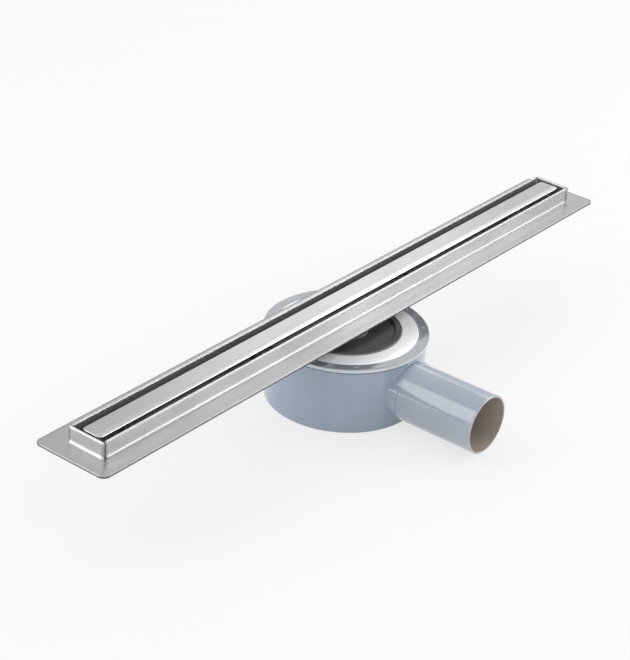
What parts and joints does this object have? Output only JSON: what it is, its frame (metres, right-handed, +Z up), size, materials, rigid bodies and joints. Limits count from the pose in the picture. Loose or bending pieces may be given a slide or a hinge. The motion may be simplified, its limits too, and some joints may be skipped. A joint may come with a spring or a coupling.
{
  "type": "linear shower drain",
  "caption": "Narrow stainless shower channel with a flat cover strip on a low round trap with a side outlet spigot.",
  "frame": {"origin": "centre of the trap's flat base", "axes": "+X along the channel, +Z up, the outlet spigot points along -Y"},
  "size_m": [0.64, 0.2125, 0.0945],
  "materials": {
    "stainless_brushed": "brushed stainless sheet",
    "stainless_cover": "fine brushed stainless strip",
    "stainless_mill": "mill finish stainless",
    "blue_grey_plastic": "glossy moulded polypropylene",
    "grey_plastic_ring": "satin moulded plastic",
    "grey_plastic_light": "moulded plastic",
    "white_plastic": "white moulded plastic",
    "black_rubber": "moulded rubber"
  },
  "bodies": {
    "root": {"flange_frame": "stainless_brushed", "cover_plate": "stainless_cover", "cover_support_1": "stainless_mill", "cover_support_2": "stainless_mill", "cover_support_3": "stainless_mill", "cover_support_4": "stainless_mill", "support_caps_1": "black_rubber", "support_caps_2": "black_rubber", "support_caps_3": "black_rubber", "support_caps_4": "black_rubber", "trough_floor": "stainless_mill", "trough_wall_front": "stainless_mill", "trough_wall_back": "stainless_mill", "trough_end_left": "stainless_mill", "trough_end_right": "stainless_mill", "outlet_neck": "stainless_mill", "hair_strainer": "stainless_mill", "dip_tube": "grey_plastic_light", "dip_tube_seal": "black_rubber", "seal_collar": "black_rubber", "trap_lid": "white_plastic", "lid_gasket": "black_rubber", "clamp_ring": "grey_plastic_ring", "trap_body": "blue_grey_plastic", "outlet_spigot": "blue_grey_plastic", "water_pot": "blue_grey_plastic"}
  },
  "joints": []
}
